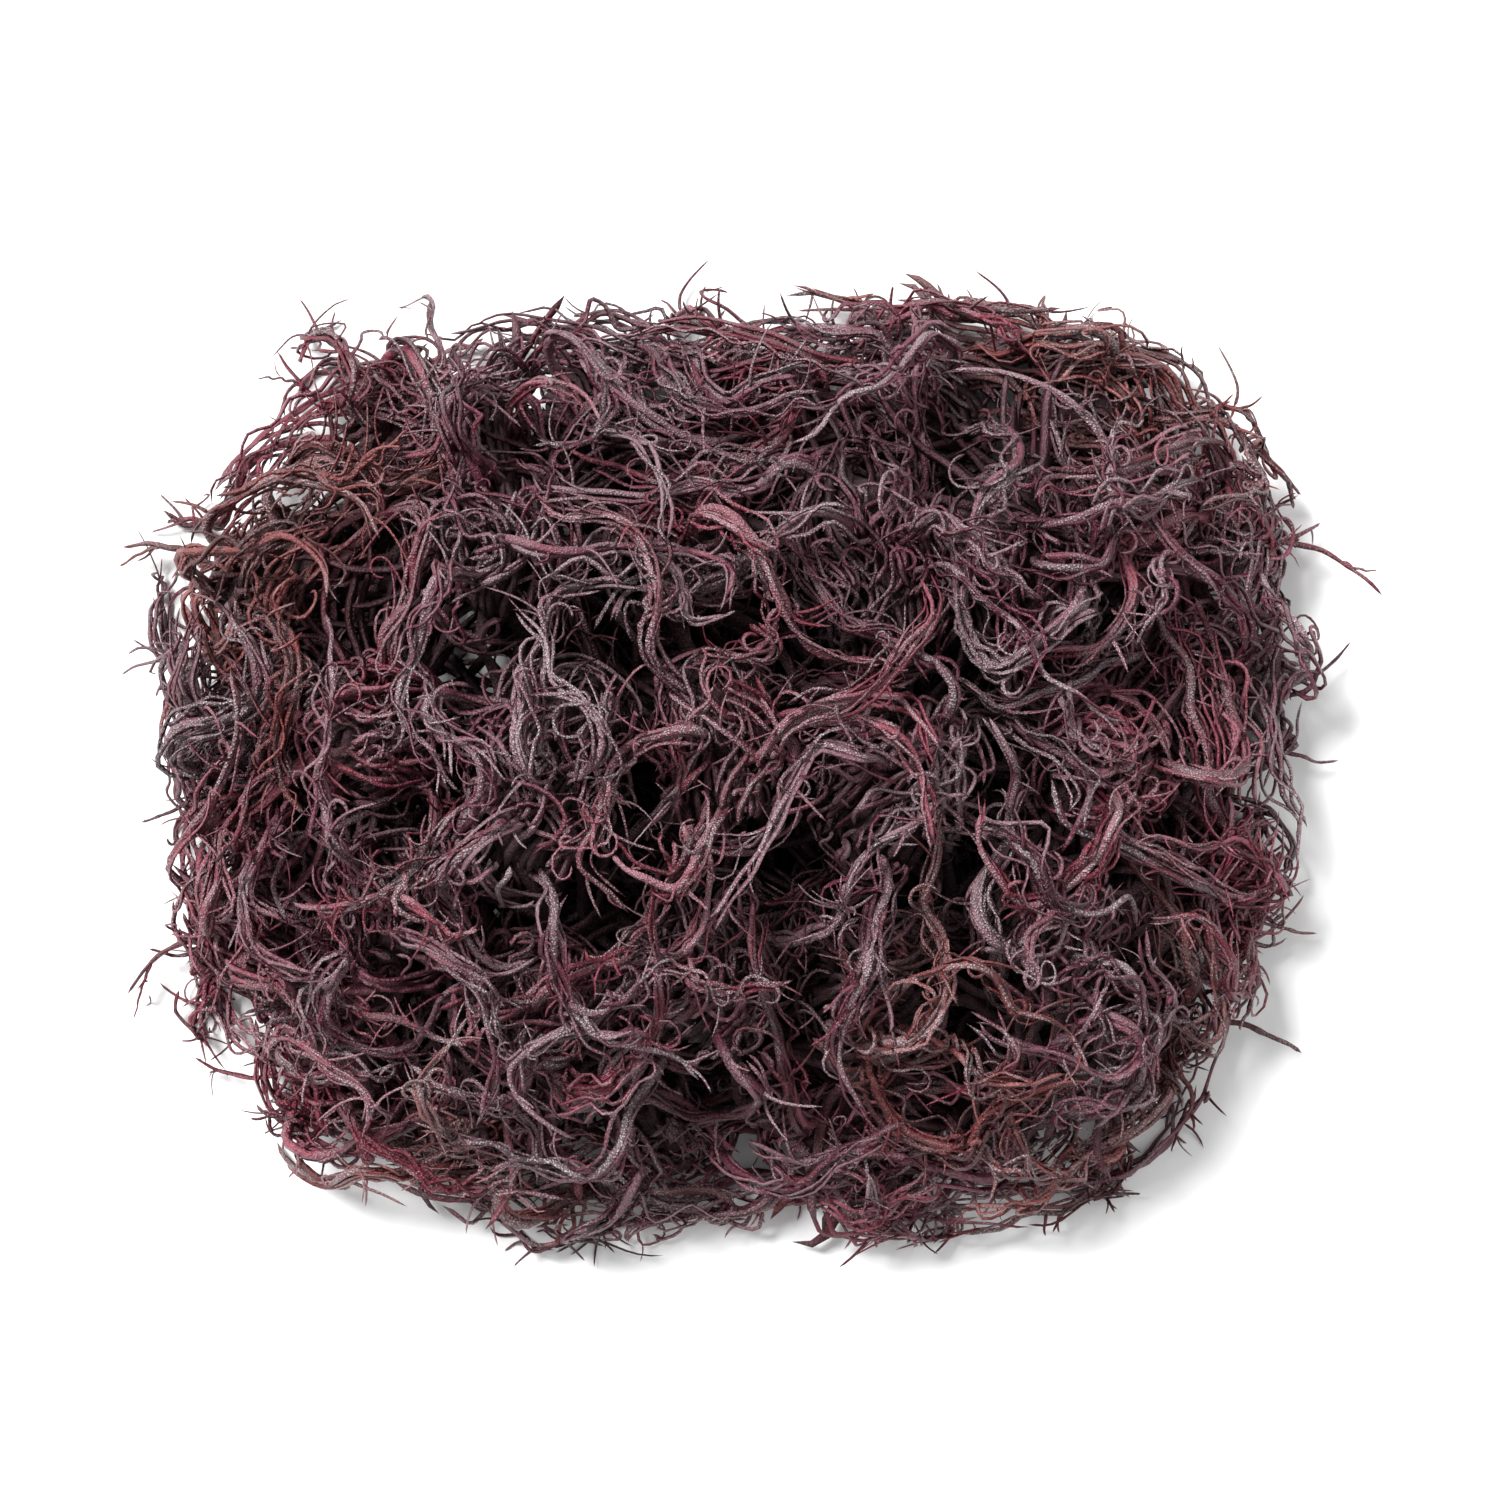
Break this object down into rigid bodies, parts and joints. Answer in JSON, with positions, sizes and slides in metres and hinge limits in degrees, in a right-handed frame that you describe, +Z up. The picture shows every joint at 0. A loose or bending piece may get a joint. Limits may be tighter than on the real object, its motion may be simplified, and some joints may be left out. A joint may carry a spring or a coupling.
{
  "type": "dried purple sea moss",
  "caption": "Loose flat-bottomed heap of dried purple sea moss: wiry, curled and forked seaweed strands tangled round twisted hanks, with stray twigs at the rim.",
  "frame": {"origin": "on the surface that the heap lies on, in the middle of the flat underside of the middle sprig", "axes": "+X along the heap's length, to the right as the picture shows it; +Y across it, to the top of the picture; +Z up from the surface"},
  "size_m": [0.254, 0.1939, 0.0667],
  "materials": {
    "plum": "dry, dark purple, wrinkled, dusted with pale salt",
    "burgundy": "dry, wine red, wrinkled, slightly see-through at the tips",
    "rust": "dry, rust red, smooth to wrinkled, slightly see-through"
  },
  "bodies": {
    "root": {"rim_left_upper": "rust", "rim_left_middle": "plum", "rim_left_lower": "burgundy", "rim_lower_left": "burgundy", "rim_bottom_left": "rust", "rim_bottom": "plum", "rim_bottom_right": "burgundy", "rim_lower_right": "plum", "rim_right_foot": "rust", "rim_right_lower": "burgundy", "rim_right_middle": "plum", "rim_right_upper": "burgundy", "rim_upper_right": "rust", "rim_top_right": "plum", "rim_top": "burgundy", "rim_top_left": "plum", "rim_upper_left": "burgundy", "shoulder_top_right": "plum", "shoulder_top": "burgundy", "shoulder_top_left": "plum", "shoulder_left_upper": "burgundy", "shoulder_left_lower": "plum", "shoulder_bottom_left": "burgundy", "shoulder_bottom": "plum", "shoulder_bottom_right": "rust", "shoulder_right_lower": "plum", "shoulder_right": "burgundy", "shoulder_right_upper": "plum", "crown_left": "plum", "crown_middle": "burgundy", "crown_right": "plum", "base_left": "plum", "base_middle": "burgundy", "base_right": "plum"}
  },
  "joints": []
}
